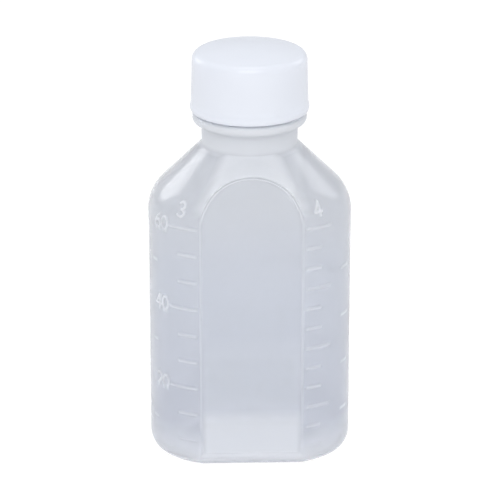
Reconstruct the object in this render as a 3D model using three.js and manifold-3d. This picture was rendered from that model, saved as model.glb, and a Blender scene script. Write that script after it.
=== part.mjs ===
// A 60 mL oval dispensing bottle with a screw cap: one hollow blow moulding with an arched
// label panel and raised scales on both faces, a domed cap with an internal thread, and the
// sealing disc inside the cap. Millimetres, +Z up, front at -Y, origin at the middle of the
// face that the bottle stands on.

import * as THREE from 'three';
import { mergeVertices } from 'three/addons/utils/BufferGeometryUtils.js';
import Module from 'manifold-3d';

const wasm = await Module();
wasm.setup();

// ---------------------------------------------------------------- driving dimensions

const AROUND = 72; // facets round the bottle and the cap
const TOUCH_GAP = 0.3; // left between pieces that rest on each other
const PAST = 1; // how far a cutter reaches past the face that it opens
const TIDY = 0.02; // how far a boolean's result may move when its slivers are merged

const body = {
  halfWidth: 21.8,
  squareness: 2.43, // exponent of the oval: 2 is an ellipse, larger is squarer
  flatDepth: 15.5, // from the axis to the flat front and back faces
  baseRadius: 4.0,
  baseRise: 0.6, // the middle of the base is pushed up by this much
  restWidth: 3.5, // width of the flat ring that the bottle stands on
  wall: 0.7,
  floor: 1.0,
};

const panel = {
  halfWidth: 11.0,
  recess: 0.3,
  bottom: 3.1,
  springHeight: 56.1, // where the straight sides end and the round arch begins
  rim: 0.2, // width of the flat strip left round the recess
};

const shoulder = {
  slopeSum: 80.25, // distance from the axis plus height, anywhere on the 45 degree cone
  roundRadius: 9, // where the upright wall turns into the cone
  swell: 0.1, // the shoulder stands out this much from the wall below
  swellStart: 50,
  swellTop: 53.8,
};

// The band that slopes back from the arched top of each panel and stands out of the cone. It
// runs from the panel's round arch to a wider, more pointed one that is buried in the neck.
const brow = {
  bottom: 45,
  backDepth: 8, // of the wider arch, from the axis
  backHalfWidth: 20.2,
  backRise: 14.95, // of the wider arch over its straight sides
  pointedness: 1.54, // 1 makes the wider arch an ellipse, 2 makes it a gable
};

const neck = {
  radius: 10.3,
  boreRadius: 9.1,
  top: 74.15,
};

const bead = {
  radius: 12.25,
  bottom: 74.75,
  top: 76.9,
  edge: 0.35,
};

const finish = {
  radius: 9.6, // of the threaded part of the neck, without its thread
  boreRadius: 8.4,
  mouth: 87.0,
  lipChamfer: 0.4,
};

const thread = {
  pitch: 3.2,
  turns: 1.5,
  bottleBottom: 79.6, // height of the middle of the thread where it starts
  bottleCrest: 10.65,
  capCrest: 10.0,
  startTurn: 0.01, // keeps the thread's facets off the edges of the neck's
  rootHalf: 1.0, // half the thread's height at its buried root and at its crest
  crestHalf: 0.42,
  buried: 0.4, // how far each thread's root reaches into its wall
  fadeTurns: 0.08,
  leastRise: 0.05, // share of the full rise left at each end
  facetsPerTurn: 36,
};

const cap = {
  bottom: 77.35,
  bottomRadius: 12.55,
  flareRadius: 12.75,
  flareHeight: 1.65,
  topRadius: 12.3,
  sideTop: 88.4,
  edgeRadius: 1.7,
  domeRise: 1.05,
  boreRadius: 11.1,
  ceiling: 88.6,
};

const liner = {
  radius: 10.8,
  thickness: 1.0,
};

const scale = {
  emptyHeight: 0.6, // where the evenly spaced scales would read zero
  fullHeight: 55.4, // the 60 mL line
  ridgeRise: 0.2,
  ridgeBuried: 0.35,
  rootHalf: 0.35, // half the ridge's height at its buried root and at its crest
  crestHalf: 0.13,
  ridgeFacets: 2,
};

// Each scale divides 60 mL evenly. `short` and `long` are where a line starts and ends,
// measured from the middle of the face, so a negative scale is on the left of the panel.
// Every `every`-th line is long, and a scale without long lines leaves those out.
const scales = [
  { divisions: 9, every: 3, short: [-11.6, -15.9], long: [-11.3, -17.6] },
  { divisions: 12, every: 3, short: [11.3, 15.1], long: [11.3, 16.9] },
  { divisions: 6, every: 2, short: [-19.9, -20.9] },
  { divisions: 5, every: 5, short: [19.3, 20.8] },
];

// How finely the curved parts are cut into rings, steps or facets.
const fineness = {
  baseEdge: 4,
  innerBaseEdge: 3,
  shoulder: 12,
  arch: 24,
  dome: 5,
  capEdge: 4,
};

const plastic = {
  bottle: { color: 0xd3d8df, roughness: 0.3, metalness: 0 },
  cap: { color: 0xf1f4f8, roughness: 0.4, metalness: 0 },
  liner: { color: 0xf4f4f1, roughness: 0.8, metalness: 0 },
};

// Worked out from the above.
const neckRoot = shoulder.slopeSum - neck.radius;
const recessDepth = body.flatDepth - panel.recess;
const innerFloor = body.baseRise + body.floor;
const flatHalfWidth = panel.halfWidth + panel.rim;
const flatShare = 1 - (flatHalfWidth / body.halfWidth) ** body.squareness;
const halfDepth = body.flatDepth / flatShare ** (1 / body.squareness); // of the uncut oval

// The outside and the inside of the wall follow the same formulas.
const outside = {
  inset: 0,
  flat: body.flatDepth,
  throat: neck.radius,
};

const inside = {
  inset: body.wall,
  flat: recessDepth - body.wall,
  throat: neck.boreRadius,
};

// ---------------------------------------------------------------- small helpers

function toManifold(geometry) {
  geometry.deleteAttribute('normal');
  geometry.deleteAttribute('uv');
  const merged = mergeVertices(geometry, 1e-4);
  const mesh = new wasm.Mesh({
    numProp: 3,
    vertProperties: new Float32Array(merged.attributes.position.array),
    triVerts: new Uint32Array(merged.index.array),
  });
  return new wasm.Manifold(mesh);
}

function toGeometry(solid) {
  const mesh = solid.getMesh();
  const geometry = new THREE.BufferGeometry();
  geometry.setAttribute('position', new THREE.BufferAttribute(mesh.vertProperties, 3));
  geometry.setIndex(new THREE.BufferAttribute(mesh.triVerts, 1));
  geometry.computeVertexNormals();
  return geometry;
}

function blend(from, to, amount) {
  const share = THREE.MathUtils.clamp(amount, 0, 1);
  return from + (to - from) * share;
}

function spread(from, to, steps) {
  return Array.from({ length: steps + 1 }, (_, i) => blend(from, to, i / steps));
}

// A closed solid through rings of points that all have the same count and turn
// anticlockwise seen from the end that the rings lead to.
function loft(rings) {
  const count = rings[0].length;
  const positions = rings.flat().flatMap((point) => point.toArray());
  const triangles = [];
  for (let ring = 0; ring + 1 < rings.length; ring += 1) {
    for (let i = 0; i < count; i += 1) {
      const next = (i + 1) % count;
      const low = ring * count;
      const high = low + count;
      triangles.push(low + i, low + next, high + next);
      triangles.push(low + i, high + next, high + i);
    }
  }
  const last = (rings.length - 1) * count;
  for (let i = 1; i + 1 < count; i += 1) {
    triangles.push(0, i + 1, i);
    triangles.push(last, last + i, last + i + 1);
  }
  const geometry = new THREE.BufferGeometry();
  geometry.setAttribute('position', new THREE.Float32BufferAttribute(positions, 3));
  geometry.setIndex(triangles);
  return geometry;
}

// ---------------------------------------------------------------- the bottle's shape

// Distance from the axis, in the direction `angle`, to the upright wall: a superellipse cut
// off at the flats.
function wallReach(skin, angle, height) {
  const swellShare = (height - shoulder.swellStart) / (shoulder.swellTop - shoulder.swellStart);
  const halfWidth = body.halfWidth + blend(0, shoulder.swell, swellShare) - skin.inset;
  const across = Math.abs(Math.cos(angle)) / halfWidth;
  const along = Math.abs(Math.sin(angle)) / (halfDepth - skin.inset);
  const oval = (across ** body.squareness + along ** body.squareness) ** (-1 / body.squareness);
  const toFlat = skin.flat / Math.max(Math.abs(Math.sin(angle)), Number.EPSILON);
  return Math.min(oval, toFlat);
}

// The same, with the wall rounded over into the 45 degree cone and the cone ending at the
// neck. The rounding starts below the corner where the wall would meet the cone.
function shellReach(skin, angle, height) {
  const wall = wallReach(skin, angle, height);
  const slopeSum = shoulder.slopeSum - Math.SQRT2 * skin.inset;
  const radius = shoulder.roundRadius - skin.inset;
  const corner = slopeSum - wall;
  const rise = height - (corner - radius * Math.tan(Math.PI / 8));
  if (rise <= 0) {
    return wall;
  }
  if (rise <= radius * Math.SQRT1_2) {
    return wall - radius + Math.sqrt(radius ** 2 - rise ** 2);
  }
  return Math.max(slopeSum - height, skin.throat);
}

function ring(height, reachAt) {
  return spread(0, 2 * Math.PI, AROUND)
    .slice(0, AROUND)
    .map((angle) => {
      const reach = reachAt(angle);
      return new THREE.Vector3(reach * Math.cos(angle), reach * Math.sin(angle), height);
    });
}

function circleRing(radius, height) {
  return ring(height, () => radius);
}

function shellRing(skin, height) {
  return ring(height, (angle) => shellReach(skin, angle, height));
}

// A ring that follows the foot of the wall, `inset` in from it.
function footRing(skin, inset, height) {
  const smaller = { ...skin, inset: skin.inset + inset, flat: skin.flat - inset };
  return ring(height, (angle) => wallReach(smaller, angle, 0));
}

// Rings of a quarter-round edge between a level face and an upright wall.
function baseEdgeRings(skin, radius, level, steps) {
  return spread(0, Math.PI / 2, steps).map((turn) => {
    const inset = radius * (1 - Math.sin(turn));
    return footRing(skin, inset, level + radius * (1 - Math.cos(turn)));
  });
}

// The outline of a panel's round arch, over the turn from its right side to its left.
function archPoint(halfWidth, turn) {
  return { across: halfWidth * Math.cos(turn), rise: halfWidth * Math.sin(turn) };
}

// The brow's outline at a depth, drawn in by the skin's inset.
function browPoint(skin, depth, turn) {
  const near = archPoint(flatHalfWidth, turn);
  const reach = brow.backHalfWidth * Math.abs(Math.cos(turn)) ** brow.pointedness;
  const back = {
    across: Math.sign(near.across) * reach,
    rise: brow.backRise * Math.sin(turn) ** brow.pointedness,
  };
  const length = body.flatDepth - brow.backDepth;
  const share = (body.flatDepth - depth) / length;
  const spreading = Math.hypot(back.across - near.across, back.rise - near.rise) / length;
  const drawnIn = archPoint(skin.inset * Math.hypot(1, spreading), turn);
  return {
    across: near.across + share * (back.across - near.across) - drawnIn.across,
    rise: near.rise + share * (back.rise - near.rise) - drawnIn.rise,
  };
}

// Corners round an arched outline that stands upright at a depth, from its lower right.
function archRing(outline, bottom, depth) {
  const curve = spread(0, Math.PI, fineness.arch).map((turn) => {
    const { across, rise } = outline(turn);
    return new THREE.Vector3(across, -depth, panel.springHeight + rise);
  });
  const right = curve[0].clone().setZ(bottom);
  const left = curve.at(-1).clone().setZ(bottom);
  return [right, ...curve, left];
}

// An upright solid between two arched rings, on the front (side -1) or the back (side 1).
function archSolid(side, rings) {
  const block = loft(rings);
  if (side > 0) {
    block.rotateZ(Math.PI);
  }
  return toManifold(block);
}

// The tapered block that makes the flat of a panel and the brow over it.
function browSolid(skin, side) {
  const rings = [brow.backDepth, skin.flat].map((depth) =>
    archRing((turn) => browPoint(skin, depth, turn), brow.bottom, depth),
  );
  return archSolid(side, rings);
}

// The shallow arched recess for a label.
function panelCutter(side) {
  const rings = [recessDepth, body.flatDepth + PAST].map((depth) =>
    archRing((turn) => archPoint(panel.halfWidth, turn), panel.bottom, depth),
  );
  return archSolid(side, rings);
}

function outerSolid() {
  const pushEdge = body.baseRadius + body.restWidth;
  const rings = [
    footRing(outside, pushEdge + body.baseRise, body.baseRise),
    footRing(outside, pushEdge, 0),
    ...baseEdgeRings(outside, body.baseRadius, 0, fineness.baseEdge),
    shellRing(outside, shoulder.swellStart),
    ...spread(shoulder.swellTop, neckRoot, fineness.shoulder).map((z) => shellRing(outside, z)),
    circleRing(neck.radius, neck.top),
    circleRing(bead.radius - bead.edge, bead.bottom),
    circleRing(bead.radius, bead.bottom + bead.edge),
    circleRing(bead.radius, bead.top - bead.edge),
    circleRing(bead.radius - bead.edge, bead.top),
    circleRing(finish.radius, bead.top),
    circleRing(finish.radius, finish.mouth - finish.lipChamfer),
    circleRing(finish.radius - finish.lipChamfer, finish.mouth),
  ];
  return toManifold(loft(rings));
}

function innerSolid() {
  const throat = shoulder.slopeSum - Math.SQRT2 * body.wall - neck.boreRadius;
  const innerRadius = body.baseRadius - body.wall;
  const rings = [
    ...baseEdgeRings(inside, innerRadius, innerFloor, fineness.innerBaseEdge),
    shellRing(inside, shoulder.swellStart),
    ...spread(shoulder.swellTop, throat, fineness.shoulder).map((z) => shellRing(inside, z)),
    circleRing(neck.boreRadius, neck.top),
    circleRing(finish.boreRadius, bead.top),
    circleRing(finish.boreRadius, finish.mouth + PAST),
  ];
  return toManifold(loft(rings));
}

// ---------------------------------------------------------------- raised scale lines

// The angle at which the wall is `across` from the middle of the front face. The search
// halves the range of angles until it is far finer than any facet.
function wallAngle(height, across) {
  const finest = 1e-6;
  let near = -Math.PI / 2;
  let far = across > 0 ? 0 : -Math.PI;
  while (Math.abs(far - near) > finest) {
    const middle = (near + far) / 2;
    const reached = Math.abs(shellReach(outside, middle, height) * Math.cos(middle));
    if (reached < Math.abs(across)) {
      near = middle;
    } else {
      far = middle;
    }
  }
  return near;
}

// One raised line along the wall. Its section is a ridge that narrows to its crest.
function scaleRidge(height, [from, to]) {
  const angles = spread(wallAngle(height, from), wallAngle(height, to), scale.ridgeFacets);
  const outline = [
    [-scale.ridgeBuried, -scale.rootHalf],
    [scale.ridgeRise, -scale.crestHalf],
    [scale.ridgeRise, scale.crestHalf],
    [-scale.ridgeBuried, scale.rootHalf],
  ];
  const slices = angles.map((angle) => {
    const wall = shellReach(outside, angle, height);
    return outline.map(([outward, up]) => {
      const reach = wall + outward;
      return new THREE.Vector3(reach * Math.cos(angle), reach * Math.sin(angle), height + up);
    });
  });
  const ordered = to > from ? slices.map((slice) => [...slice].reverse()) : slices;
  return loft(ordered);
}

function scaleLines({ divisions, every, short, long }) {
  const spacing = (scale.fullHeight - scale.emptyHeight) / divisions;
  const numbers = Array.from({ length: divisions }, (_, i) => i + 1);
  return numbers
    .filter((number) => long || number % every !== 0)
    .map((number) => {
      const ends = number % every === 0 ? long : short;
      return scaleRidge(scale.emptyHeight + spacing * number, ends);
    });
}

// ---------------------------------------------------------------- threads

// A right-hand helical ridge about +Z, buried in the wall at its root. It fades in and out.
function helixRidge({ rootRadius, crestRadius, startHeight }) {
  const steps = Math.round(thread.turns * thread.facetsPerTurn);
  const outward = Math.sign(crestRadius - rootRadius);
  const slices = spread(0, thread.turns, steps).map((turn) => {
    const nearEnd = Math.min(turn, thread.turns - turn);
    const share = blend(thread.leastRise, 1, nearEnd / thread.fadeTurns);
    const crest = blend(rootRadius, crestRadius, share);
    const buried = rootRadius - outward * thread.buried;
    const angle = 2 * Math.PI * (thread.startTurn + turn);
    const height = startHeight + thread.pitch * turn;
    const outline = [
      [buried, -thread.rootHalf],
      [crest, -thread.crestHalf],
      [crest, thread.crestHalf],
      [buried, thread.rootHalf],
    ];
    return outline.map(([radius, up]) => {
      const x = radius * Math.cos(angle);
      const y = radius * Math.sin(angle);
      return new THREE.Vector3(x, y, height + up);
    });
  });
  const ordered = outward > 0 ? slices.map((slice) => [...slice].reverse()) : slices;
  return toManifold(loft(ordered));
}

function bottleThread() {
  return helixRidge({
    rootRadius: finish.radius,
    crestRadius: thread.bottleCrest,
    startHeight: thread.bottleBottom,
  });
}

// The cap's thread lies midway between the turns of the bottle's.
function capThread() {
  return helixRidge({
    rootRadius: cap.boreRadius,
    crestRadius: thread.capCrest,
    startHeight: thread.bottleBottom + thread.pitch / 2,
  });
}

// ---------------------------------------------------------------- the pieces

function makeMesh(name, solid, look) {
  const mesh = new THREE.Mesh(toGeometry(solid), new THREE.MeshStandardMaterial(look));
  mesh.name = name;
  return mesh;
}

function makeBottle() {
  const ridges = scales.flatMap(scaleLines);
  const backRidges = ridges.map((ridge) => ridge.clone().rotateZ(Math.PI));
  const raised = [...ridges, ...backRidges].map(toManifold);
  const outer = [outerSolid(), browSolid(outside, -1), browSolid(outside, 1)];
  const inner = [innerSolid(), browSolid(inside, -1), browSolid(inside, 1)];
  const shell = wasm.Manifold.union([...outer, bottleThread(), ...raised]);
  const cuts = wasm.Manifold.union([...inner, panelCutter(-1), panelCutter(1)]);
  return makeMesh('bottle', shell.subtract(cuts).simplify(TIDY), plastic.bottle);
}

// The cap's half section, from the middle of its top down the outside and up the bore.
function capProfile() {
  const edgeCentre = cap.topRadius - cap.edgeRadius;
  const domeRadius = (edgeCentre ** 2 + cap.domeRise ** 2) / (2 * cap.domeRise);
  const domeAngle = Math.asin(edgeCentre / domeRadius);
  const domeCentre = cap.sideTop + cap.edgeRadius + cap.domeRise - domeRadius;
  const dome = spread(0, domeAngle, fineness.dome).map(
    (turn) => new THREE.Vector2(domeRadius * Math.sin(turn), domeCentre + domeRadius * Math.cos(turn)),
  );
  const edge = spread(domeAngle, Math.PI / 2, fineness.capEdge).map(
    (turn) =>
      new THREE.Vector2(
        edgeCentre + cap.edgeRadius * Math.sin(turn),
        cap.sideTop + cap.edgeRadius * Math.cos(turn),
      ),
  );
  const flare = [
    new THREE.Vector2(cap.bottomRadius, cap.bottom + cap.flareHeight),
    new THREE.Vector2(cap.flareRadius, cap.bottom + cap.flareHeight / 2),
    new THREE.Vector2(cap.bottomRadius, cap.bottom),
  ];
  const bore = [
    new THREE.Vector2(cap.boreRadius, cap.bottom),
    new THREE.Vector2(cap.boreRadius, cap.ceiling),
    new THREE.Vector2(0, cap.ceiling),
  ];
  return [...dome, ...edge, ...flare, ...bore].reverse();
}

function makeCap() {
  const shell = toManifold(new THREE.LatheGeometry(capProfile(), AROUND).rotateX(Math.PI / 2));
  return makeMesh('screw_cap', shell.add(capThread()), plastic.cap);
}

function makeLiner() {
  const disc = new THREE.CylinderGeometry(liner.radius, liner.radius, liner.thickness, AROUND);
  disc.rotateX(Math.PI / 2);
  disc.translate(0, 0, finish.mouth + TOUCH_GAP + liner.thickness / 2);
  return makeMesh('cap_liner', toManifold(disc), plastic.liner);
}

const dispensingBottle = new THREE.Group();
dispensingBottle.add(makeBottle(), makeLiner(), makeCap());

export default dispensingBottle;
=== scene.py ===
"""A translucent 60 mL oval dispensing bottle with a white screw cap, on a plain white floor.

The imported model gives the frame. Three finer pieces stand for its nodes: the bottle as one
closed wall with its raised scales, numerals, arched panels and thread; the cap with its own
thread; and the sealing disc. Lengths below are in millimetres unless a name ends in _M.
"""

import math

import bpy
import numpy as np
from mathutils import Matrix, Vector


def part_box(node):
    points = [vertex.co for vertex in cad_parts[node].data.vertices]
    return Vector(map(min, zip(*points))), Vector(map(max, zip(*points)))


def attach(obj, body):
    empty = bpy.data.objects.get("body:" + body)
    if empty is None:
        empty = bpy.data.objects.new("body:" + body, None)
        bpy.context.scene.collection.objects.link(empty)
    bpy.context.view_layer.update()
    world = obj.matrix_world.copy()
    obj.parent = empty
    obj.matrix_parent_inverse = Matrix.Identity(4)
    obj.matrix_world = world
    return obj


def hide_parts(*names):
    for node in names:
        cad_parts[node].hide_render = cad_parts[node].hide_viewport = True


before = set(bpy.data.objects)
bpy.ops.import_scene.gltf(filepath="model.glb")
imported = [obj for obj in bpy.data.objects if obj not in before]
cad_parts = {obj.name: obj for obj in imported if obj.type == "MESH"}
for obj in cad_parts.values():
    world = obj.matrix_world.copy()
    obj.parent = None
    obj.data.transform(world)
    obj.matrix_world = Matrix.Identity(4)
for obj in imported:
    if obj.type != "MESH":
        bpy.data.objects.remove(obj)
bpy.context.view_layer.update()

MM = 0.001
TINY = 1e-9  # keeps a division from dividing by nothing

# ---------------------------------------------------------------- sizes from the frame


def box_mm(node):
    """A node's lowest and highest corners in millimetres."""
    low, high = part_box(node)
    return np.array(low) / MM, np.array(high) / MM


_, bottle_high = box_mm("bottle")
cap_low, cap_high = box_mm("screw_cap")
liner_low, liner_high = box_mm("cap_liner")

# ---------------------------------------------------------------- the bottle's own sizes

SWELL = 0.1  # the body is this much wider on each side at the shoulder
SWELL_START = 50.0
SWELL_TOP = 53.8
HALF_WIDTH = bottle_high[0] - SWELL
SQUARENESS = 2.43  # the exponent of the oval section
FLAT_DEPTH = 15.5  # from the axis to each flat face
WALL = 0.7
FLOOR = 1.0
BASE_RADIUS = 4.0
BASE_RISE = 0.6  # the middle of the base stands this far off the floor
BASE_SLOPE = 0.5  # this far in from the ring it has risen by BASE_SLOPE_SHARE of that
BASE_SLOPE_SHARE = 0.35
BASE_SLOPE_END = 1.6  # and this far in it is level
REST_WIDTH = 3.5  # of the ring that the bottle stands on

PANEL_HALF = 11.0
PANEL_RIM = 0.2
PANEL_RECESS = 0.3
PANEL_BOTTOM = 3.1
PANEL_STEP = 0.3  # width over which the wall steps down into the panel
# A milky line, a painted highlight, follows the panel's edge. Up its arch it moves inward and
# becomes a faint ridge as well.
RIM_INSIDE = 0.4
RIM_HALF = 0.3
RIM_RISE = 0.1
RIM_CHANGE = 5.0  # height above the spring line over which that happens
RIM_END = 4.0  # height over which the line fades out at the panel's foot
SPRING = 56.1  # where the panel's straight sides end and its round arch begins
ARCH_TOP = SPRING + PANEL_HALF

SLOPE_SUM = 80.25  # distance from the axis plus height, anywhere on the 45 degree cone
SHOULDER_ROUND = 9.0
# The brow over a panel runs from its round arch back to a wider, more pointed one.
BROW_BACK_DEPTH = 8.0
BROW_BACK_HALF = 20.2
BROW_BACK_RISE = 14.95
BROW_POINTEDNESS = 1.54
CREASE = 0.15  # over how much the brow and the cone run into each other
BROW_POINTS = 121  # on each outline of the brow
BROW_OUTLINES = 60  # from its first outline above a given height to its back

NECK_RADIUS = 10.3
NECK_BORE = 9.1
NECK_TOP = 74.15
BEAD_RADIUS = 12.25
BEAD_BOTTOM = 74.75
BEAD_TOP = 76.9
BEAD_EDGE = 0.95
FINISH_RADIUS = 9.6
FINISH_BORE = 8.4
FINISH_FOOT = 0.1  # a tiny fillet where the finish stands on the bead
MOUTH_EDGE = 0.15
MOUTH = bottle_high[2]
LIP = 0.4

NECK_ROOT = SLOPE_SUM - NECK_RADIUS
OVAL_SHARE = 1.0 - ((PANEL_HALF + PANEL_RIM) / HALF_WIDTH) ** SQUARENESS
HALF_DEPTH = FLAT_DEPTH / OVAL_SHARE ** (1.0 / SQUARENESS)

# The helical threads. The cap's lies midway between the turns of the bottle's.
PITCH = 3.2
TURNS = 1.5
THREAD_START = 79.6
THREAD_FIRST_TURN = 0.01
THREAD_HALF = 0.84
THREAD_FLANK = 0.55  # share of the thread's half height that is slope
THREAD_RISE = 1.0
THREAD_MARGIN = 1.2  # no ring further than this from the thread's ends has any of it
FADE_TURNS = 0.08

# The raised scales. Each divides 60 mL evenly, and x is measured from a face's middle.
SCALE_EMPTY = 0.6
SCALE_FULL = 55.4
LINE_HALF = 0.5
LINE_FLANK = 0.46
LINE_RISE = 0.2
LINE_ROWS = (-LINE_HALF, -0.26, 0.0, 0.26, LINE_HALF)  # the mesh's rows across each line
LINE_FADE = 0.4
# Every "every"-th line is long, and a scale without long lines leaves those out. The outer
# two scales are fainter: "share" is how much of the full rise they have.
SCALES = [
    {"divisions": 9, "every": 3, "share": 1.0, "short": (-11.6, -15.9), "long": (-11.4, -17.6)},
    {"divisions": 12, "every": 3, "share": 1.0, "short": (11.4, 15.1), "long": (11.4, 16.9)},
    {"divisions": 6, "every": 2, "share": 0.5, "short": (-19.9, -20.9)},
    {"divisions": 5, "every": 5, "share": 0.5, "short": (19.3, 20.8)},
]

# ---------------------------------------------------------------- small helpers


def smooth_step(value):
    """0 below 0, 1 above 1, with a soft bend between."""
    share = np.clip(value, 0.0, 1.0)
    return share * share * (3.0 - 2.0 * share)


def blend(low, high, amount):
    """low where amount is 0 or less, high where it is 1 or more, and evenly between."""
    return low + (high - low) * np.clip(amount, 0.0, 1.0)


def march(start, stop, spacing_at):
    """Values from start to stop whose spacing at each one is spacing_at(value). Only the last
    step differs: it is from a half to one and a half times as long."""
    values = [start]
    while values[-1] + 1.5 * spacing_at(values[-1]) < stop:
        values.append(values[-1] + spacing_at(values[-1]))
    values.append(stop)
    return values


# ---------------------------------------------------------------- the bottle's section


def wall_reach(angle, z, inset, flat):
    """Distance from the axis to the upright wall: a superellipse cut off at the flats."""
    swell = SWELL * np.clip((z - SWELL_START) / (SWELL_TOP - SWELL_START), 0.0, 1.0)
    across = np.abs(np.cos(angle)) / (HALF_WIDTH + swell - inset)
    along = np.abs(np.sin(angle)) / (HALF_DEPTH - inset)
    oval = (across**SQUARENESS + along**SQUARENESS) ** (-1.0 / SQUARENESS)
    return np.minimum(oval, flat / np.maximum(np.abs(np.sin(angle)), TINY))


def cone_reach(wall, z, inset, throat):
    """The wall rounded over into the 45 degree cone, which ends at the neck."""
    slope_sum = SLOPE_SUM - math.sqrt(2.0) * inset
    radius = SHOULDER_ROUND - inset
    rise = z - (slope_sum - wall - radius * math.tan(math.pi / 8))
    rounded = wall - radius + np.sqrt(np.maximum(radius**2 - rise**2, 0.0))
    cone = np.maximum(slope_sum - z, throat)
    return np.where(rise <= 0.0, wall, np.where(rise <= radius * math.sqrt(0.5), rounded, cone))


def brow_reach(angle, z, inset, flat):
    """Distance from the axis to the brow at one height, and 0 beyond its back edge."""
    turn = np.linspace(0.0, math.pi / 2, BROW_POINTS)
    outward = np.array([np.cos(turn), np.sin(turn)])
    near = (PANEL_HALF + PANEL_RIM) * outward
    back = np.array([[BROW_BACK_HALF], [BROW_BACK_RISE]]) * outward**BROW_POINTEDNESS
    length = FLAT_DEPTH - BROW_BACK_DEPTH
    drawn_in = inset * np.hypot(1.0, np.hypot(*(back - near)) / length) * outward
    rise = max(z - SPRING, 0.0)
    top_share = (rise - near[1, -1] + drawn_in[1, -1]) / (back[1, -1] - near[1, -1])
    first = max(top_share, (FLAT_DEPTH - flat) / length)
    shares = np.linspace(min(first, 1.0), 1.0, BROW_OUTLINES)
    outlines = [near + share * (back - near) - drawn_in for share in shares]
    across = np.array([np.interp(rise, outline[1], outline[0]) for outline in outlines])
    depth = FLAT_DEPTH - shares * length
    places = np.arctan2(depth, across)[::-1]
    from_side = np.arctan2(np.abs(np.sin(angle)), np.abs(np.cos(angle)))
    distance = np.interp(from_side, places, np.hypot(across, depth)[::-1], left=0.0)
    on_flat = from_side > places[-1]
    return np.where(on_flat, flat / np.maximum(np.sin(from_side), TINY), distance)


def soft_max(first, second, width):
    """The greater of two, rounded off where they are within a width of each other."""
    overlap = np.maximum(width - np.abs(first - second), 0.0)
    return np.maximum(first, second) + overlap**2 / (4.0 * width)


def outer_reach(angle, z, inset=0.0):
    """Distance from the axis to the outside of the wall, before any relief."""
    wall = wall_reach(angle, z, inset, FLAT_DEPTH - inset)
    cone = cone_reach(wall, z, 0.0, NECK_RADIUS)
    if z < SPRING:
        return cone
    brow = brow_reach(angle, z, 0.0, FLAT_DEPTH)
    return np.minimum(wall, soft_max(cone, brow, CREASE))


def brow_light_patch(angle, z, distance):
    """Painted light: 1 on the brow and the cone beside it, which are made milkier and brighter,
    fading to 0 around.
    """
    half = blend(*BROW_PATCH_HALF, (z - SPRING) / (NECK_ROOT - SPRING))
    across = np.abs(distance * np.cos(angle))
    level = smooth_step((z - SPRING - BROW_PATCH_START) / BROW_PATCH_FADE)
    return level * smooth_step(0.5 + (half - across) / BROW_PATCH_FADE)


def inner_reach(angle, z, inset=0.0):
    """Distance from the axis to the inside of the wall."""
    flat = FLAT_DEPTH - PANEL_RECESS - WALL - inset
    wall = wall_reach(angle, z, WALL + inset, flat)
    cone = cone_reach(wall, z, WALL, NECK_BORE)
    if z < SPRING:
        return cone
    return np.maximum(cone, np.minimum(brow_reach(angle, z, WALL, flat), wall))


# ---------------------------------------------------------------- the relief on the wall


def scale_lines(scale):
    """Height and ends of each of a scale's lines."""
    spacing = (SCALE_FULL - SCALE_EMPTY) / scale["divisions"]
    lines = []
    for number in range(1, scale["divisions"] + 1):
        ends = scale.get("long") if number % scale["every"] == 0 else scale["short"]
        if ends:
            lines.append((SCALE_EMPTY + spacing * number, ends))
    return lines


def arc(centre, radii, start, stop, steps=12):
    """Points on an ellipse's arc; the angles are in degrees, anticlockwise."""
    turns = np.radians(np.linspace(start, stop, steps + 1))
    return np.c_[centre[0] + radii[0] * np.cos(turns), centre[1] + radii[1] * np.sin(turns)]


# Each digit is drawn as strokes in a box one unit high and 0.6 wide, from its lower left.
DIGITS = {
    "0": [arc((0.3, 0.5), (0.26, 0.46), 0, 360, 24)],
    "2": [
        arc((0.3, 0.72), (0.26, 0.24), 165, -35),
        np.array([(0.51, 0.58), (0.04, 0.04), (0.56, 0.04)]),
    ],
    "3": [
        arc((0.28, 0.73), (0.24, 0.23), 150, -90),
        arc((0.28, 0.27), (0.27, 0.23), 90, -150),
    ],
    "4": [np.array([(0.42, 0.04), (0.42, 0.96), (0.02, 0.3), (0.58, 0.3)])],
    "6": [
        arc((0.3, 0.3), (0.25, 0.26), 0, 360, 24),
        arc((0.56, 0.3), (0.51, 0.68), 180, 105),
    ],
}

SCALE_NUMERALS = ("20", "40", "60")  # at one, two and three thirds of the scale
NUMERAL_HEIGHT = 3.2
NUMERAL_PITCH = 2.25
NUMERAL_STROKE = 0.13
NUMERAL_SOFT = 0.27
NUMERAL_LIFT = 0.2  # the middle of a number stands this far above its line
NUMERAL_RIGHT_X = -17.5
DOSE_NUMERAL_BOTTOM = SCALE_FULL + 2.4
DOSE_NUMERALS = (("3", -16.0), ("4", 13.5))


def numeral_levels():
    """Heights of the lines that the scale's numerals belong to."""
    spacing = (SCALE_FULL - SCALE_EMPTY) / len(SCALE_NUMERALS)
    return [SCALE_EMPTY + spacing * (place + 1) for place in range(len(SCALE_NUMERALS))]


def stroke_distance(along, height, points):
    """Distance from each place on the wall to a line of points."""
    best = np.full(along.shape, np.inf)
    for (x0, y0), (x1, y1) in zip(points[:-1], points[1:]):
        dx, dy = x1 - x0, y1 - y0
        share = ((along - x0) * dx + (height - y0) * dy) / (dx * dx + dy * dy)
        share = np.clip(share, 0.0, 1.0)
        best = np.minimum(best, np.hypot(along - x0 - share * dx, height - y0 - share * dy))
    return best


def numeral_relief(along, height, text, left, bottom):
    """A raised number whose first digit's lower left corner is at (left, bottom)."""
    relief = np.zeros(along.shape)
    for place, digit in enumerate(text):
        corner = np.array([left + place * NUMERAL_PITCH, bottom])
        for stroke in DIGITS[digit]:
            distance = stroke_distance(along, height, stroke * NUMERAL_HEIGHT + corner)
            share = 1.0 - (distance - NUMERAL_STROKE) / NUMERAL_SOFT
            relief = np.maximum(relief, LINE_RISE * smooth_step(share))
    return relief


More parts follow.
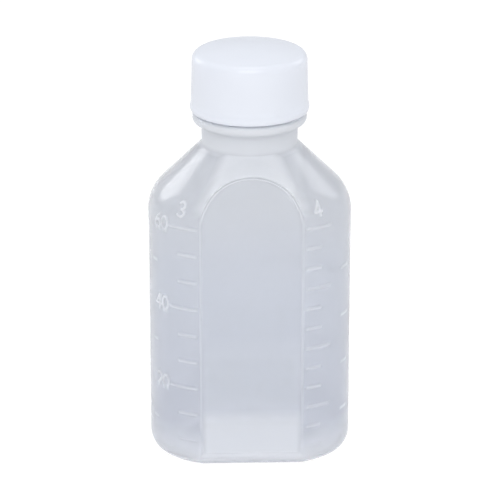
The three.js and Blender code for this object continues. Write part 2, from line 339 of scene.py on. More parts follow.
def line_relief(along, height, level, start, stop):
    """A raised line at one level between two places along the wall."""
    low, high = min(start, stop), max(start, stop)
    across = smooth_step((LINE_HALF - np.abs(height - level)) / LINE_FLANK)
    ends = smooth_step((along - low) / LINE_FADE) * smooth_step((high - along) / LINE_FADE)
    return LINE_RISE * across * ends


def lines_relief(along, height, along_at):
    """The raised scale lines on one face. along is the distance round from its middle."""
    relief = np.zeros(along.shape)
    for scale in SCALES:
        for level, ends in scale_lines(scale):
            start, stop = (along_at(x) for x in ends)
            line = scale["share"] * line_relief(along, height, level, start, stop)
            relief = np.maximum(relief, line)
    return relief


def numerals_relief(along, height, along_at):
    """The raised numbers on one face: the left scale's, and one over each inner scale."""
    numerals_left = along_at(NUMERAL_RIGHT_X) - 2 * NUMERAL_PITCH
    below_middle = NUMERAL_LIFT - NUMERAL_HEIGHT / 2
    places = [
        (text, numerals_left, level + below_middle)
        for text, level in zip(SCALE_NUMERALS, numeral_levels())
    ]
    places += [(text, along_at(x), DOSE_NUMERAL_BOTTOM) for text, x in DOSE_NUMERALS]
    relief = np.zeros(along.shape)
    for text, left, bottom in places:
        number = numeral_relief(along, height, text, left, bottom)
        relief = np.maximum(relief, number)
    return relief


# The mesh's columns: up to each distance from a face's middle, how far apart they are, then
# as far as the relief's end and round the side.
COLUMN_SPACING = ((9.6, 0.6), (10.6, 0.3), (11.4, 0.15), (13.4, 0.42), (16.2, 0.22))
NUMERAL_COLUMNS = 0.24  # on the half face with the scale's numerals
LINE_COLUMNS = 0.6  # on the other
RELIEF_END = 20.9
SIDE_COLUMNS = 1.3
# How far apart its rows are. Each raised line has rows of its own besides.
NUMERAL_ROWS = 0.2
PLAIN_ROWS = 1.0
ARCH_ROWS = 0.32
ARCH_TOP_ROWS = 0.15
CONE_ROWS = 0.26
FINISH_ROWS = 0.28
ROW_GAP = 0.1  # evenly laid rows stay this far from a row that marks an edge
ARCH_TOP_START = SPRING + 7.9
ARCH_MARGIN = 0.4
FOOT_STEPS = 12
EDGE_STEPS = 4  # in each rounded edge of the bead and the lip
NECK_RINGS = 6
INNER_FOOT_STEPS = 6
INNER_SHOULDER_RINGS = 22
INNER_WALL_RINGS = 10
# Above the spring line the columns are drawn together to follow the panel's arch.
FOLLOW_HEIGHT = 8.5  # how far up the arch they follow it
FOLLOW_FADE = 16.0  # how far beyond the panel's width the others move along
PLAIN_LEVEL = 30.0  # a height at which the section is plain
SECTION_POINTS = 4001


def thread_rise(angle, z):
    """How much of a thread's full rise stands at each angle and height, from 0 to 1."""
    first = angle / (2.0 * math.pi) - THREAD_FIRST_TURN
    rise = np.zeros(np.broadcast(angle, z).shape)
    for lap in range(-1, 3):
        turn = first + lap
        inside = (turn >= 0.0) & (turn <= TURNS)
        fade = smooth_step(np.minimum(turn, TURNS - turn) / FADE_TURNS)
        away = np.abs(z - THREAD_START - PITCH * turn)
        flank = smooth_step((THREAD_HALF - away) / (THREAD_FLANK * THREAD_HALF))
        rise = np.maximum(rise, np.where(inside, fade * flank, 0.0))
    return rise


# ---------------------------------------------------------------- the bottle's mesh


def front_section():
    """Angles from the middle of the front to the right side, and the distance along the wall."""
    angles = np.radians(np.linspace(-90.0, 0.0, SECTION_POINTS))
    distance = outer_reach(angles, PLAIN_LEVEL)
    x, y = distance * np.cos(angles), distance * np.sin(angles)
    along = np.concatenate([[0.0], np.cumsum(np.hypot(np.diff(x), np.diff(y)))])
    return angles, x, along


def column_angles():
    """Every column's angle, once round from the left side, closer where there is relief."""
    fine, x, along = front_section()

    def along_at(across):
        return math.copysign(float(np.interp(abs(across), x, along)), across)

    def quarter(numerals):
        def spacing_at(place):
            for across, spacing in COLUMN_SPACING:
                if place < along_at(across):
                    return spacing
            if place < along_at(RELIEF_END):
                return NUMERAL_COLUMNS if numerals else LINE_COLUMNS
            return SIDE_COLUMNS

        return np.interp(march(0.0, along[-1], spacing_at), along, fine)

    left, right = -math.pi - quarter(True), quarter(False)
    half = np.concatenate([left[::-1][:-1], right])[:-1]
    return np.concatenate([half, half + math.pi]), along_at


def along_wall(angles):
    """Distance along the wall from the middle of the nearer face, positive on its right."""
    fine, _, along = front_section()
    from_face = (angles + math.pi) % math.pi - math.pi / 2
    return np.sign(from_face) * np.interp(np.abs(from_face) - math.pi / 2, fine, along)


def follow_arch(angles, z):
    """Draws the columns together above the spring line, so that they follow the arch."""
    height = min(max(z - SPRING, 0.0), FOLLOW_HEIGHT)
    closing = math.sqrt(PANEL_HALF**2 - height**2) / PANEL_HALF
    opening_start = ARCH_TOP + ARCH_MARGIN
    opening = smooth_step((z - opening_start) / (NECK_ROOT - opening_start))
    factor = blend(closing, 1.0, opening)
    across = FLAT_DEPTH * np.cos(angles) / np.maximum(np.abs(np.sin(angles)), TINY)
    share = 1.0 - smooth_step((np.abs(across) - PANEL_HALF) / FOLLOW_FADE)
    moved = across * (1.0 - (1.0 - factor) * share)
    return np.arctan2(np.where(np.sin(angles) < 0.0, -FLAT_DEPTH, FLAT_DEPTH), moved)


def body_heights():
    """Levels up the body, close together at the raised lines, the numerals and the arch."""
    levels = sorted({round(level, 3) for scale in SCALES for level, _ in scale_lines(scale)})
    numerals = [level + NUMERAL_LIFT for level in numeral_levels()]
    lines = [level + offset for level in levels for offset in LINE_ROWS]

    def spacing_at(z):
        if any(abs(z - middle) < 0.6 * NUMERAL_HEIGHT for middle in numerals):
            return NUMERAL_ROWS
        if z < SPRING:
            return PLAIN_ROWS
        if z < DOSE_NUMERAL_BOTTOM + NUMERAL_HEIGHT:
            return NUMERAL_ROWS
        if z < ARCH_TOP_START:
            return ARCH_ROWS
        return ARCH_TOP_ROWS if z < ARCH_TOP + ARCH_MARGIN else CONE_ROWS

    plain = march(BASE_RADIUS, NECK_ROOT, spacing_at)
    return sorted(lines + [z for z in plain if min(abs(z - line) for line in lines) > ROW_GAP])


def quarter_turn(steps):
    """Angles from 0 to a quarter turn in even steps."""
    return np.linspace(0.0, math.pi / 2, steps + 1)


def circle_profile():
    """Radius and height of the round part outside: neck, bead, finish and lip."""
    turns = quarter_turn(EDGE_STEPS)
    bead_middle = BEAD_RADIUS - BEAD_EDGE
    under = [
        (bead_middle + BEAD_EDGE * math.sin(turn), BEAD_BOTTOM + BEAD_EDGE * (1 - math.cos(turn)))
        for turn in turns
    ]
    over = [
        (bead_middle + BEAD_EDGE * math.cos(turn), BEAD_TOP - BEAD_EDGE * (1 - math.sin(turn)))
        for turn in turns
    ]
    lip = [
        (FINISH_RADIUS - LIP * (1 - math.cos(turn)), MOUTH - LIP * (1 - math.sin(turn)))
        for turn in turns
    ]
    neck = [(NECK_RADIUS, z) for z in np.linspace(NECK_ROOT, NECK_TOP, NECK_RINGS + 1)[1:]]
    foot = [(FINISH_RADIUS + FINISH_FOOT, BEAD_TOP)]
    finish_heights = np.arange(BEAD_TOP + 1.5 * FINISH_FOOT, MOUTH - LIP, FINISH_ROWS)
    finish = [(FINISH_RADIUS, z) for z in finish_heights]
    return neck + under + over + foot + finish + lip


def recessed(angle, z, distance):
    """The distance from the axis with the arched panels sunk into both flats, how far they are
    sunk, and how strong the rim along their edge is, both from 0 to 1. The rim is a painted
    highlight, and up the arch a faint ridge as well."""
    x = distance * np.cos(angle)
    y = distance * np.sin(angle)
    from_side = PANEL_HALF - np.hypot(x, np.maximum(z - SPRING, 0.0))
    sunk = smooth_step(0.5 + np.minimum(from_side, z - PANEL_BOTTOM) / PANEL_STEP)
    arched = smooth_step((z - SPRING) / RIM_CHANGE)
    strength = blend(SIDE_RIM, 1.0, arched) * smooth_step((z - PANEL_BOTTOM) / RIM_END)
    from_rim = np.abs(from_side - RIM_INSIDE * arched)
    rim = strength * smooth_step(1.0 - from_rim / RIM_HALF)
    depth = np.abs(y) - PANEL_RECESS * sunk + RIM_RISE * arched * rim
    distance = np.where(sunk > 0.0, distance * depth / np.maximum(np.abs(y), TINY), distance)
    return distance, sunk, rim


def base_edge(radius, level, steps):
    """Inset and height of a quarter-round edge between a level face and an upright wall."""
    return [
        (radius * (1 - math.sin(turn)), level + radius * (1 - math.cos(turn)))
        for turn in quarter_turn(steps)
    ]


def ring(angles, distance, z, thickness_and_painted_light=0.0):
    """One row of a mesh: its points, and how milky the plastic is at each, from 0 to 1, for its
    thickness and for painted light.
    """
    level = np.ones(len(angles))
    reach = distance * level
    points = np.stack([reach * np.cos(angles), reach * np.sin(angles), z * level], axis=1)
    return points, thickness_and_painted_light * level


def body_ring(angles, z, along_at, inset=0.0):
    """A row of the body's outside, with its panels and everything that is raised on it."""
    moved = follow_arch(angles, z)
    along, height = along_wall(moved), z * np.ones(len(angles))
    lines = lines_relief(along, height, along_at)
    numerals = numerals_relief(along, height, along_at)
    distance, sunk, rim = recessed(moved, z, outer_reach(moved, z, inset))
    # painted light over the brow, the rim's painted highlight and the relief's partly painted
    # highlight go into the milky share
    brow = brow_light_patch(moved, z, distance) * (1.0 - sunk)
    thickness_and_painted_light = np.maximum.reduce([
        LINE_THICK_AND_HIGHLIGHT * lines / LINE_RISE,
        NUMERAL_THICK_AND_HIGHLIGHT * numerals / LINE_RISE,
        RIM_PAINTED_HIGHLIGHT * rim,
        BROW_PAINTED_LIGHT * brow,
    ])
    return ring(moved, distance + np.maximum(lines, numerals), z, thickness_and_painted_light)


def round_ring(angles, radius, z):
    """A row of the round part outside, with the thread where there is one."""
    thread_end = THREAD_START + PITCH * TURNS
    in_thread = THREAD_START - THREAD_MARGIN < z < thread_end + THREAD_MARGIN
    rise = THREAD_RISE * thread_rise(angles % (2 * math.pi), z) if in_thread else 0.0
    return ring(angles, radius + rise, z)


def bottle_rings():
    """Rings from the middle of the base, up the outside, over the lip and back inside."""
    angles, along_at = column_angles()
    rest_edge = BASE_RADIUS + REST_WIDTH
    base = (
        (rest_edge + BASE_SLOPE_END, BASE_RISE),
        (rest_edge + BASE_SLOPE, BASE_SLOPE_SHARE * BASE_RISE),
        (rest_edge, 0.0),
    )
    rings = [ring(angles, outer_reach(angles, 0.0, inset), z) for inset, z in base]
    edge = base_edge(BASE_RADIUS, 0.0, FOOT_STEPS)[:-1]
    rings += [body_ring(angles, z, along_at, inset) for inset, z in edge]
    rings += [body_ring(angles, z, along_at) for z in body_heights()]
    rings += [round_ring(angles, radius, z) for radius, z in circle_profile()]
    mouth = ((FINISH_BORE + MOUTH_EDGE, MOUTH), (FINISH_BORE, MOUTH - MOUTH_EDGE))
    bore = ((FINISH_BORE, BEAD_TOP), (NECK_BORE, NECK_TOP))
    rings += [ring(angles, radius, z) for radius, z in mouth + bore]
    return rings + inner_rings(angles)


def inner_rings(angles):
    """Rings down the inside, from where the neck widens to the edge of the inner floor."""
    neck_end = SLOPE_SUM - math.sqrt(2.0) * WALL - NECK_BORE
    floor_level = BASE_RISE + FLOOR
    floor_edge = BASE_RADIUS - WALL
    shoulder = np.linspace(neck_end, SWELL_TOP, INNER_SHOULDER_RINGS)
    wall = np.linspace(SWELL_TOP, floor_level + floor_edge, INNER_WALL_RINGS)[1:-1]
    edge = base_edge(floor_edge, floor_level, INNER_FOOT_STEPS)[::-1]
    rings = [ring(angles, inner_reach(angles, z), z) for z in np.concatenate([shoulder, wall])]
    rings += [ring(angles, inner_reach(angles, z, inset), z) for inset, z in edge]
    return rings


def mesh_from_rings(name, rings):
    """A closed surface through rings of points, with a point at the middle of each end. The
    milky share at each point, for thickness and for painted light, is kept as a vertex attribute
    that the bottle's material reads, from 0 to 1."""
    columns = len(rings[0][0])
    grid = np.concatenate([points for points, _ in rings])
    ends = [rings[0][0].mean(axis=0), rings[-1][0].mean(axis=0)]
    points = np.concatenate([grid, ends]) * MM
    thickness_and_painted_light = np.concatenate([share for _, share in rings] + [[0.0, 0.0]])
    start_pole, end_pole = len(grid), len(grid) + 1
    here = np.arange(columns)
    after = (here + 1) % columns
    faces = []
    for row in range(len(rings) - 1):
        low, high = row * columns, (row + 1) * columns
        faces += np.c_[low + here, low + after, high + after, high + here].tolist()
    top = (len(rings) - 1) * columns
    edges = list(zip(here.tolist(), after.tolist()))
    faces += [(start_pole, second, first) for first, second in edges]
    faces += [(end_pole, top + first, top + second) for first, second in edges]
    mesh = bpy.data.meshes.new(name)
    mesh.from_pydata(points.tolist(), [], faces)
    mesh.shade_smooth()
    mesh.update()
    mesh.attributes.new("thickness_and_painted_light", "FLOAT", "POINT").data.foreach_set("value", thickness_and_painted_light)
    piece = bpy.data.objects.new(name, mesh)
    bpy.context.scene.collection.objects.link(piece)
    return piece


def make_bottle():
    piece = mesh_from_rings("bottle_shell", bottle_rings())
    piece.data.materials.append(bottle_material())
    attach(piece, "bottle")
    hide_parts("bottle")


# ---------------------------------------------------------------- the cap and its disc

CAP_SEGMENTS = 144
CAP_BOTTOM = cap_low[2]
CAP_TOP = cap_high[2]
CAP_FLARE_RADIUS = cap_high[0]
CAP_FLARE = 0.2  # how far the bead at its lower edge stands out
CAP_BOTTOM_RADIUS = CAP_FLARE_RADIUS - CAP_FLARE
CAP_FLARE_HEIGHT = 1.65
CAP_TOP_RADIUS = 12.3
CAP_SIDE_TOP = 88.4
CAP_EDGE = 1.7
CAP_DOME = CAP_TOP - CAP_SIDE_TOP - CAP_EDGE
CAP_BORE = 11.1
CAP_CEILING = 88.6
CAP_BEVEL = 0.2  # at the corners of its lower edge and of its bore
CAP_BORE_ROWS = 0.25
DOME_RINGS = 12
CAP_EDGE_STEPS = 8
CAP_SIDE_RINGS = 7
CAP_FLARE_STEPS = 10
CEILING_INNER_RADIUS = 6.0
DOME_POLE_SHARE = 0.08  # the dome's first ring, as a share of its turn
LINER_BEVEL = 0.15


def cap_profile():
    """Radius and height from beside the middle of the dome, down the outside and up the bore."""
    centre = CAP_TOP_RADIUS - CAP_EDGE
    dome_radius = (centre**2 + CAP_DOME**2) / (2 * CAP_DOME)
    dome_turn = math.asin(centre / dome_radius)
    dome_centre = CAP_TOP - dome_radius
    dome = [
        (dome_radius * math.sin(turn), dome_centre + dome_radius * math.cos(turn))
        for turn in np.linspace(DOME_POLE_SHARE * dome_turn, dome_turn, DOME_RINGS)
    ]
    edge = [
        (centre + CAP_EDGE * math.sin(turn), CAP_SIDE_TOP + CAP_EDGE * math.cos(turn))
        for turn in np.linspace(dome_turn, math.pi / 2, CAP_EDGE_STEPS + 1)[1:]
    ]
    flare_top = CAP_BOTTOM + CAP_FLARE_HEIGHT
    side = [
        (blend(CAP_TOP_RADIUS, CAP_BOTTOM_RADIUS, share), blend(CAP_SIDE_TOP, flare_top, share))
        for share in np.linspace(0.0, 1.0, CAP_SIDE_RINGS + 1)[1:]
    ]
    flare = [
        (
            CAP_BOTTOM_RADIUS + CAP_FLARE * math.sin(math.pi * share),
            flare_top - CAP_FLARE_HEIGHT * share,
        )
        for share in np.linspace(0.0, 1.0, CAP_FLARE_STEPS + 1)[1:-1]
    ]
    rim = [
        (CAP_BOTTOM_RADIUS - 0.3 * CAP_BEVEL, CAP_BOTTOM + 0.1 * CAP_BEVEL),
        (CAP_BOTTOM_RADIUS - CAP_BEVEL, CAP_BOTTOM),
        (CAP_BORE + CAP_BEVEL, CAP_BOTTOM),
        (CAP_BORE, CAP_BOTTOM + CAP_BEVEL),
    ]
    bore_start = CAP_BOTTOM + CAP_BEVEL + CAP_BORE_ROWS
    bore_end = CAP_CEILING - CAP_BEVEL
    bore = [(CAP_BORE, z) for z in np.arange(bore_start, bore_end - ROW_GAP, CAP_BORE_ROWS)]
    ceiling = [
        (CAP_BORE, bore_end),
        (CAP_BORE - CAP_BEVEL, CAP_CEILING),
        (CEILING_INNER_RADIUS, CAP_CEILING),
    ]
    return dome + edge + side + flare + rim + bore + ceiling


def make_cap():
    angles = np.linspace(0.0, 2.0 * math.pi, CAP_SEGMENTS, endpoint=False)
    rings = []
    for radius, z in reversed(cap_profile()):
        rise = THREAD_RISE * thread_rise(angles, z - PITCH / 2) if radius == CAP_BORE else 0.0
        rings.append(ring(angles, radius - rise, z))
    piece = mesh_from_rings("cap_shell", rings)
    piece.data.materials.append(cap_material())
    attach(piece, "cap")
    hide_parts("screw_cap")


def make_liner():
    edge = liner_high[0]
    low, high = liner_low[2], liner_high[2]
    profile = [
        (0.5 * edge, low),
        (edge - LINER_BEVEL, low),
        (edge, low + LINER_BEVEL),
        (edge, high - LINER_BEVEL),
        (edge - LINER_BEVEL, high),
        (0.5 * edge, high),
    ]
    angles = np.linspace(0.0, 2.0 * math.pi, CAP_SEGMENTS, endpoint=False)
    piece = mesh_from_rings("sealing_disc", [ring(angles, radius, z) for radius, z in profile])
    piece.data.materials.append(liner_material())
    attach(piece, "liner")
    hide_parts("cap_liner")


# ---------------------------------------------------------------- materials

BOTTLE_DEEP = (0.80, 0.825, 0.885)
BOTTLE_PALE = (0.835, 0.855, 0.91)
BOTTLE_HAZE = (0.12, 0.18)
BOTTLE_IOR = 1.49
BOTTLE_CLOUD_MM = 9.0
BOTTLE_RIPPLE_MM = 14.0
BOTTLE_RIPPLE_DEPTH_MM = 0.12
MILK_DEEP = (0.93, 0.95, 0.985)
MILK_PALE = (0.95, 0.965, 0.995)
# The raised lines and numerals are milkier for their thicker plastic and, in part, as a painted
# highlight
LINE_THICK_AND_HIGHLIGHT = 0.38
NUMERAL_THICK_AND_HIGHLIGHT = 0.64
# painted highlight: how much milkier and brighter the rim along each panel's edge is
RIM_PAINTED_HIGHLIGHT = 0.55
SIDE_RIM = 0.4  # how strong the rim's painted highlight is along the straight sides, against the arch
# painted light: how much milkier and brighter the brow and the cone beside it are made
BROW_PAINTED_LIGHT = 0.62
BROW_PATCH_HALF = (13.5, 6.0)  # from the spring line up to the neck
BROW_PATCH_START = 1.5
BROW_PATCH_FADE = 3.5
# painted light: the wall just above the base is made milkier and brighter, for the lit base seen
# through it
BASE_PAINTED_LIGHT = 0.37
BASE_LIGHT_LOW = (1.0, 3.2)
BASE_LIGHT_HIGH = (4.0, 11.0)
PANEL_SHADE_EDGE = (PANEL_HALF - 0.5, PANEL_HALF + 0.5)
PANEL_MILK_EDGE = (PANEL_HALF - 1.6, PANEL_HALF + 0.8)
PANEL_BOTTOM_EDGE = (PANEL_BOTTOM, PANEL_BOTTOM + 0.8)
PANEL_FOOT_PAINTED_LIGHT = 0.5  # painted light: the lowest part of each panel is milkier and brighter, for the lit base seen through it
PANEL_FOOT = (9.5, 16.0)
PANEL_LOWER_MILK = 0.12
PANEL_LOWER = (22.0, 32.0)
PANEL_UPPER_MILK = 0.14
PANEL_UPPER = (48.0, 66.0)
NECK_THICK = 0.66
NECK_LEVELS = (NECK_ROOT - 1.5, NECK_ROOT + 1.0)
BEAD_THICK = 0.72
BEAD_LEVELS = (NECK_TOP - 0.3, BEAD_BOTTOM)
MILK = (0.3, 0.95)  # how milky the thinnest and the thickest plastic is
CHALK = (0.4, 0.85)  # how much of the milk scatters light back, for the same
# Painted light and shade in the wall's colour: it turns towards the first of these, a painted
# light, up the shoulder, and towards the second, a painted shade, beside the panels lower down
# and, as a painted shadow, all round the very base.
SHOULDER_PAINTED_LIGHT = (0.845, 0.85, 0.87)
UPPER_LEVELS = (40.0, 62.0)
UPPER_AMOUNT = 0.8
LOW_PAINTED_SHADE = (0.735, 0.75, 0.83)
LOWER_LEVELS = (14.0, 44.0)
LOWER_AMOUNT = 0.5
BASE_LEVELS = (2.2, 3.4)
BASE_AMOUNT = 0.9

CAP_DEEP = (0.875, 0.90, 0.965)
CAP_PALE = (0.90, 0.925, 0.985)
CAP_GLOW = 0.22
CAP_GLOSS = (0.21, 0.27)
CAP_IOR = 1.5
CAP_CLOUD_MM = 6.0
CAP_GRAIN_MM = 0.35
CAP_GRAIN_DEPTH_MM = 0.01

LINER_DEEP = (0.72, 0.72, 0.69)
LINER_PALE = (0.84, 0.84, 0.81)
LINER_ROUGHNESS = (0.7, 0.9)
LINER_CELL_MM = 0.3
LINER_CELL_DEPTH_MM = 0.05


class Nodes:
    """A material's node tree, with a shorter way to add a node and set its inputs."""

    def __init__(self, name):
        self.material = bpy.data.materials.new(name)
        self.material.use_nodes = True
        self.tree = self.material.node_tree
        self.tree.nodes.clear()

    def add(self, kind, **inputs):
        node = self.tree.nodes.new(kind)
        for label, value in inputs.items():
            node.inputs[label.replace("_", " ")].default_value = value
        return node

    def link(self, source, target):
        self.tree.links.new(source, target)

    def noise(self, size_mm, detail=3.0):
        """Noise whose blobs are about size_mm across, in the object's own coordinates."""
        place = self.add("ShaderNodeTexCoord")
        noise = self.add("ShaderNodeTexNoise", Scale=1.0 / (size_mm * MM), Detail=detail)
        self.link(place.outputs["Object"], noise.inputs["Vector"])
        return noise.outputs["Fac"]

    def between(self, factor, low, high):
        """A factor from 0 to 1 mapped onto a range."""
        node = self.add("ShaderNodeMapRange", To_Min=low, To_Max=high)
        self.link(factor, node.inputs["Value"])
        return node.outputs["Result"]

    def attribute(self, name):
        node = self.add("ShaderNodeAttribute")
        node.attribute_name = name
        return node.outputs["Fac"]

    def combine(self, operation, first, second):
        node = self.add("ShaderNodeMath")
        node.operation = operation
        self.link(first, node.inputs[0])
        self.link(second, node.inputs[1])
        return node.outputs["Value"]

    def product(self, first, second):
        return self.combine("MULTIPLY", first, second)

    def greatest(self, *values):
        best = values[0]
        for value in values[1:]:
            best = self.combine("MAXIMUM", best, value)
        return best

    def by_place(self, axis, low_mm, high_mm, at_low, at_high):
        """A value that changes smoothly over the height, or over the distance to either side
        of the middle, between two places on the object."""
        place = self.add("ShaderNodeTexCoord")
        split = self.add("ShaderNodeSeparateXYZ")
        self.link(place.outputs["Object"], split.inputs["Vector"])
        distance = self.add("ShaderNodeMath")
        distance.operation = "ABSOLUTE"
        self.link(split.outputs[axis], distance.inputs[0])
        node = self.add("ShaderNodeMapRange", From_Min=low_mm * MM, From_Max=high_mm * MM)
        node.interpolation_type = "SMOOTHSTEP"
        node.inputs["To Min"].default_value = at_low
        node.inputs["To Max"].default_value = at_high
        self.link(distance.outputs["Value"], node.inputs["Value"])
        return node.outputs["Result"]

    def mixed(self, factor, colour, other):
        """A colour turned towards another by a factor from 0 to 1."""
        node = self.add("ShaderNodeMix")
        node.data_type = "RGBA"
        self.link(factor, node.inputs["Factor"])
        self.link(colour, node.inputs["A"])
        node.inputs["B"].default_value = (*other, 1.0)
        return node.outputs["Result"]

    def tint(self, factor, low, high):
        """A factor from 0 to 1 turned into a colour between two."""
        ramp = self.add("ShaderNodeValToRGB")
        ramp.color_ramp.elements[0].color = (*low, 1.0)
        ramp.color_ramp.elements[1].color = (*high, 1.0)
        self.link(factor, ramp.inputs["Fac"])
        return ramp.outputs["Color"]

    def bump(self, height, distance_mm, strength=1.0):
        node = self.add("ShaderNodeBump", Strength=strength, Distance=distance_mm * MM)
        self.link(height, node.inputs["Height"])
        return node.outputs["Normal"]


def bottle_material():
    """Natural polypropylene: a glossy, slightly milky and bluish wall, which is milkier and
    chalkier where the plastic is thick: at the neck, the bead and all relief. It is also made
    milkier as painted light over the brow, low on the wall and on each panel's foot, where the
    lit base shows through, and as a painted highlight along each panel's edge and on the relief.
    Its colour holds painted light up the shoulder and painted shade low down and round the base."""
    nodes = Nodes("natural_polypropylene")
    clouds = nodes.noise(BOTTLE_CLOUD_MM)
    ripple = nodes.noise(BOTTLE_RIPPLE_MM, detail=1.0)
    skin = nodes.bump(ripple, BOTTLE_RIPPLE_DEPTH_MM)
    # painted shade beside the panels low down, painted shadow round the very base, painted light
    # up the shoulder
    beside_panel = nodes.by_place("X", *PANEL_SHADE_EDGE, 0.0, 1.0)
    on_panel = nodes.by_place("X", *PANEL_MILK_EDGE, 1.0, 0.0)
    lower = nodes.by_place("Z", *LOWER_LEVELS, LOWER_AMOUNT, 0.0)
    upper = nodes.by_place("Z", *UPPER_LEVELS, 0.0, UPPER_AMOUNT)
    base_painted_shadow = nodes.by_place("Z", *BASE_LEVELS, BASE_AMOUNT, 0.0)
    colour = nodes.mixed(
        nodes.greatest(nodes.product(lower, beside_panel), base_painted_shadow),
        nodes.mixed(upper, nodes.tint(clouds, BOTTLE_DEEP, BOTTLE_PALE), SHOULDER_PAINTED_LIGHT),
        LOW_PAINTED_SHADE,
    )
    clear = nodes.add("ShaderNodeBsdfPrincipled", IOR=BOTTLE_IOR)
    clear.inputs["Transmission Weight"].default_value = 1.0
    milky = nodes.add("ShaderNodeBsdfTranslucent")
    chalky = nodes.add("ShaderNodeBsdfDiffuse")
    scatter = nodes.add("ShaderNodeMixShader")
    mix = nodes.add("ShaderNodeMixShader")
    out = nodes.add("ShaderNodeOutputMaterial")
    nodes.link(colour, clear.inputs["Base Color"])
    nodes.link(nodes.between(clouds, *BOTTLE_HAZE), clear.inputs["Roughness"])
    for shader in (clear, milky, chalky):
        nodes.link(skin, shader.inputs["Normal"])
    milk_colour = nodes.tint(clouds, MILK_DEEP, MILK_PALE)
    nodes.link(milk_colour, milky.inputs["Color"])
    nodes.link(milk_colour, chalky.inputs["Color"])
    # milkier on each panel: painted light at its foot, and a little more low down and towards its
    # top
    panel_milk = nodes.greatest(
        nodes.by_place("Z", *PANEL_FOOT, PANEL_FOOT_PAINTED_LIGHT, 0.0),
        nodes.by_place("Z", *PANEL_LOWER, PANEL_LOWER_MILK, 0.0),
        nodes.by_place("Z", *PANEL_UPPER, 0.0, PANEL_UPPER_MILK),
    )
    above_edge = nodes.by_place("Z", *PANEL_BOTTOM_EDGE, 0.0, 1.0)
    # painted light low on the wall, for the lit base seen through it
    base_painted_light = nodes.product(
        nodes.by_place("Z", *BASE_LIGHT_LOW, 0.0, BASE_PAINTED_LIGHT),
        nodes.by_place("Z", *BASE_LIGHT_HIGH, 1.0, 0.0),
    )
    # the milky share: thicker plastic, with painted light and painted highlights
    thickness_and_painted_light = nodes.greatest(
        nodes.attribute("thickness_and_painted_light"),
        base_painted_light,
        nodes.product(nodes.product(on_panel, above_edge), panel_milk),
        nodes.by_place("Z", *NECK_LEVELS, 0.0, NECK_THICK),
        nodes.by_place("Z", *BEAD_LEVELS, 0.0, BEAD_THICK),
    )
    nodes.link(nodes.between(thickness_and_painted_light, *MILK), mix.inputs["Fac"])
    nodes.link(nodes.between(thickness_and_painted_light, *CHALK), scatter.inputs["Fac"])
    nodes.link(milky.outputs[0], scatter.inputs[1])
    nodes.link(chalky.outputs[0], scatter.inputs[2])
    nodes.link(clear.outputs[0], mix.inputs[1])
    nodes.link(scatter.outputs[0], mix.inputs[2])
    nodes.link(mix.outputs[0], out.inputs["Surface"])
    return nodes.material


def cap_material():
    """White polyethylene: soft gloss, slightly translucent, with a faint moulded waviness."""
    nodes = Nodes("white_polyethylene")
    clouds = nodes.noise(CAP_CLOUD_MM)
    grain = nodes.noise(CAP_GRAIN_MM, detail=2.0)
    colour = nodes.tint(clouds, CAP_DEEP, CAP_PALE)
    skin = nodes.bump(grain, CAP_GRAIN_DEPTH_MM, strength=0.5)
    surface = nodes.add("ShaderNodeBsdfPrincipled", IOR=CAP_IOR)
    glow = nodes.add("ShaderNodeBsdfTranslucent")
    mix = nodes.add("ShaderNodeMixShader", Fac=CAP_GLOW)
    out = nodes.add("ShaderNodeOutputMaterial")
    nodes.link(colour, surface.inputs["Base Color"])
    nodes.link(nodes.between(clouds, *CAP_GLOSS), surface.inputs["Roughness"])
    nodes.link(skin, surface.inputs["Normal"])
    nodes.link(colour, glow.inputs["Color"])
    nodes.link(skin, glow.inputs["Normal"])
    nodes.link(surface.outputs[0], mix.inputs[1])
    nodes.link(glow.outputs[0], mix.inputs[2])
    nodes.link(mix.outputs[0], out.inputs["Surface"])
    return nodes.material


def liner_material():
    """Off-white closed-cell foam."""
    nodes = Nodes("foam_liner")
    cells = nodes.noise(LINER_CELL_MM)
    colour = nodes.tint(cells, LINER_DEEP, LINER_PALE)
    surface = nodes.add("ShaderNodeBsdfPrincipled")
    out = nodes.add("ShaderNodeOutputMaterial")
    nodes.link(colour, surface.inputs["Base Color"])
    nodes.link(nodes.between(cells, *LINER_ROUGHNESS), surface.inputs["Roughness"])
    nodes.link(nodes.bump(cells, LINER_CELL_DEPTH_MM), surface.inputs["Normal"])
    nodes.link(surface.outputs[0], out.inputs["Surface"])
    return nodes.material


def floor_material():
    """A light table's white top: matte, with a faint mottle, and softly lit from below."""
    nodes = Nodes("studio_floor")
    mottle = nodes.noise(FLOOR_MOTTLE_MM)
    surface = nodes.add("ShaderNodeBsdfPrincipled", Roughness=FLOOR_ROUGHNESS)
    surface.inputs["Emission Color"].default_value = (1.0, 1.0, 1.0, 1.0)
    surface.inputs["Emission Strength"].default_value = FLOOR_GLOW
    out = nodes.add("ShaderNodeOutputMaterial")
    nodes.link(nodes.tint(mottle, FLOOR_DEEP, FLOOR_PALE), surface.inputs["Base Color"])
    nodes.link(surface.outputs[0], out.inputs["Surface"])
    return nodes.material


# ---------------------------------------------------------------- the stage

FLOOR_HALF_M = 3.0
FLOOR_GLOW = 0.96
FLOOR_DEEP = (0.09, 0.09, 0.09)
FLOOR_PALE = (0.10, 0.10, 0.10)
FLOOR_ROUGHNESS = 0.9
FLOOR_MOTTLE_MM = 180.0
WORLD_LIGHT = 0.68
WORLD_COLOUR = (0.965, 0.98, 1.0, 1.0)
FIT = 0.968  # the size of the object against the size that the camera was solved for
CAMERA_ELEVATION = math.radians(20.8)
CAMERA_AZIMUTH = math.radians(-1.8)
CAMERA_DISTANCE_M = 0.700 * FIT
CAMERA_TARGET_M = 0.0465 * FIT
CAMERA_SENSOR_MM = 36.0
CAMERA_LENS_MM = 224.8128
CAMERA_SHIFT = 0.00074  # to the side, as a share of the picture's width

LAMP_TARGET_M = (0.0, 0.0, 0.05)
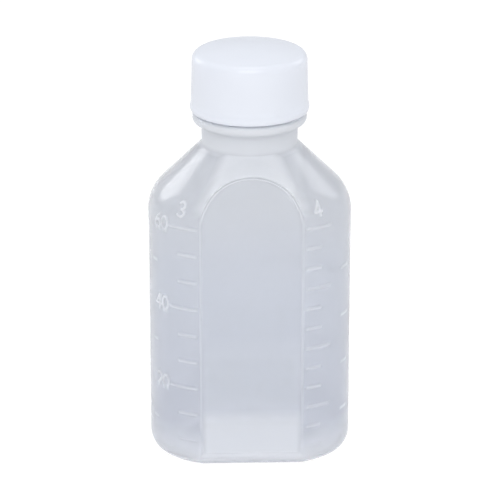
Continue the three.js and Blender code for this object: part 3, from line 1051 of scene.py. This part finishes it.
# Each lamp's name, its place and its size in metres, and its power in watts.
LAMPS = (
    ("key_softbox", (-0.03, -0.5, 0.55), (0.4, 0.4), 1.75),
    ("top_softbox", (0.0, 0.14, 0.62), (0.2, 0.16), 0.45),
    ("left_softbox", (-0.349, 0.314, 0.25), (0.2, 0.18), 0.36),
    ("right_softbox", (0.38, 0.26, 0.3), (0.16, 0.26), 0.22),
    ("small_lamp", (0.0, -0.21, 0.64), (0.01, 0.01), 0.1),
)


def make_floor():
    mesh = bpy.data.meshes.new("floor")
    signs = [(-1, -1), (1, -1), (1, 1), (-1, 1)]
    corners = [(x * FLOOR_HALF_M, y * FLOOR_HALF_M, 0.0) for x, y in signs]
    mesh.from_pydata(corners, [], [(0, 1, 2, 3)])
    floor = bpy.data.objects.new("floor", mesh)
    floor.data.materials.append(floor_material())
    bpy.context.scene.collection.objects.link(floor)


def aim(thing, target):
    """Points a camera's or a lamp's -Z axis at a target."""
    direction = Vector(target) - thing.location
    thing.rotation_euler = direction.to_track_quat("-Z", "Y").to_euler()


def make_lamp(name, place, size, power):
    light = bpy.data.lights.new(name, "AREA")
    light.shape = "RECTANGLE"
    light.size, light.size_y = size
    light.energy = power
    lamp = bpy.data.objects.new(name, light)
    lamp.location = place
    bpy.context.scene.collection.objects.link(lamp)
    aim(lamp, LAMP_TARGET_M)


def make_world():
    """Even, slightly cool surroundings."""
    world = bpy.data.worlds.new("white_studio")
    bpy.context.scene.world = world
    world.use_nodes = True
    tree = world.node_tree
    tree.nodes.clear()
    light = tree.nodes.new("ShaderNodeBackground")
    light.inputs["Strength"].default_value = WORLD_LIGHT
    light.inputs["Color"].default_value = WORLD_COLOUR
    out = tree.nodes.new("ShaderNodeOutputWorld")
    tree.links.new(light.outputs[0], out.inputs["Surface"])


def make_camera():
    target = (0.0, 0.0, CAMERA_TARGET_M)
    level = CAMERA_DISTANCE_M * math.cos(CAMERA_ELEVATION)
    camera = bpy.data.objects.new("camera", bpy.data.cameras.new("camera"))
    camera.location = (
        level * math.sin(CAMERA_AZIMUTH),
        -level * math.cos(CAMERA_AZIMUTH),
        CAMERA_TARGET_M + CAMERA_DISTANCE_M * math.sin(CAMERA_ELEVATION),
    )
    camera.data.sensor_width = CAMERA_SENSOR_MM
    camera.data.lens = CAMERA_LENS_MM
    camera.data.shift_x = CAMERA_SHIFT
    bpy.context.scene.collection.objects.link(camera)
    bpy.context.scene.camera = camera
    aim(camera, target)


def make_stage():
    make_floor()
    make_world()
    make_camera()
    for name, place, size, power in LAMPS:
        make_lamp(name, place, size, power)
    bpy.context.scene.view_settings.view_transform = "Standard"


make_stage()
make_bottle()
make_cap()
make_liner()
